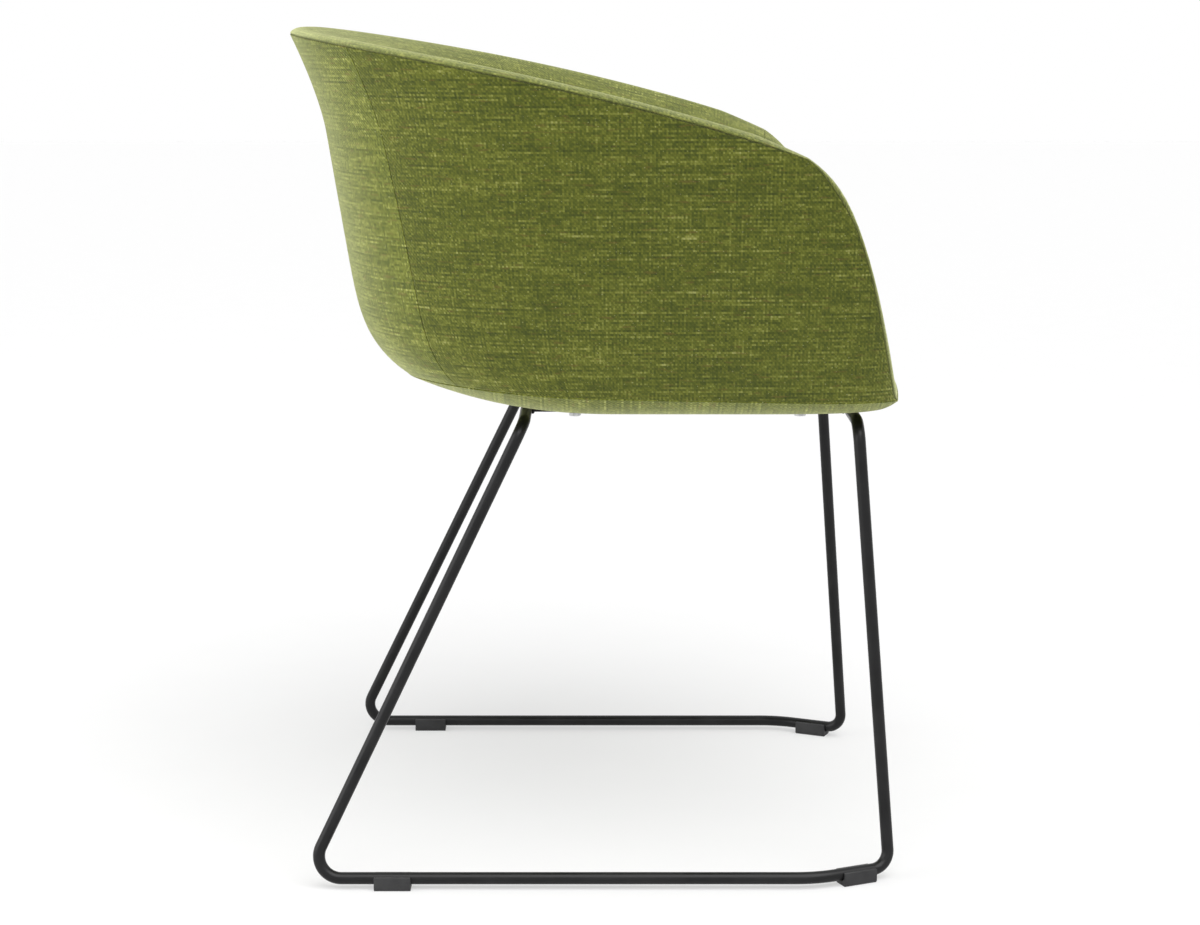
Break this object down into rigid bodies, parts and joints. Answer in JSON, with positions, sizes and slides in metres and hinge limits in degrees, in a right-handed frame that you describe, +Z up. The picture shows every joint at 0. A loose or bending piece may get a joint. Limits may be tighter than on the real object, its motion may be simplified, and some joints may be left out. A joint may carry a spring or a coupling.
{
  "type": "dining armchair",
  "caption": "Upholstered tub armchair for a dining table: a padded fabric shell whose rolled rim sweeps down into the arms, on a sled base of bent round steel rod with clip-on floor glides.",
  "frame": {"origin": "on the floor, under the middle of the chair's overall box", "axes": "+Z up, -Y the way a sitter faces, +X to the sitter's left"},
  "size_m": [0.61, 0.5684, 0.7636],
  "materials": {
    "green_fabric": "matt woven cloth with thick and thin yarns",
    "black_steel": "satin black powder coat",
    "dark_plastic": "matt moulded",
    "shell_plastic": "matt moulded",
    "zinc_steel": "zinc plated"
  },
  "bodies": {
    "root": {"left_sled_rod": "black_steel", "right_sled_rod": "black_steel", "left_front_glide": "dark_plastic", "left_rear_glide": "dark_plastic", "right_front_glide": "dark_plastic", "right_rear_glide": "dark_plastic", "left_mounting_bar": "black_steel", "right_mounting_bar": "black_steel", "left_front_screw": "zinc_steel", "left_rear_screw": "zinc_steel", "right_front_screw": "zinc_steel", "right_rear_screw": "zinc_steel", "left_front_washer": "zinc_steel", "left_rear_washer": "zinc_steel", "right_front_washer": "zinc_steel", "right_rear_washer": "zinc_steel", "left_front_spacer": "dark_plastic", "left_rear_spacer": "dark_plastic", "right_front_spacer": "dark_plastic", "right_rear_spacer": "dark_plastic", "left_front_insert": "zinc_steel", "left_rear_insert": "zinc_steel", "right_front_insert": "zinc_steel", "right_rear_insert": "zinc_steel", "tub_shell": "shell_plastic", "underside_cover": "green_fabric", "outer_back_cover": "green_fabric", "left_outer_cover": "green_fabric", "right_outer_cover": "green_fabric", "back_and_arm_pad": "green_fabric", "seat_pad": "green_fabric"}
  },
  "joints": []
}
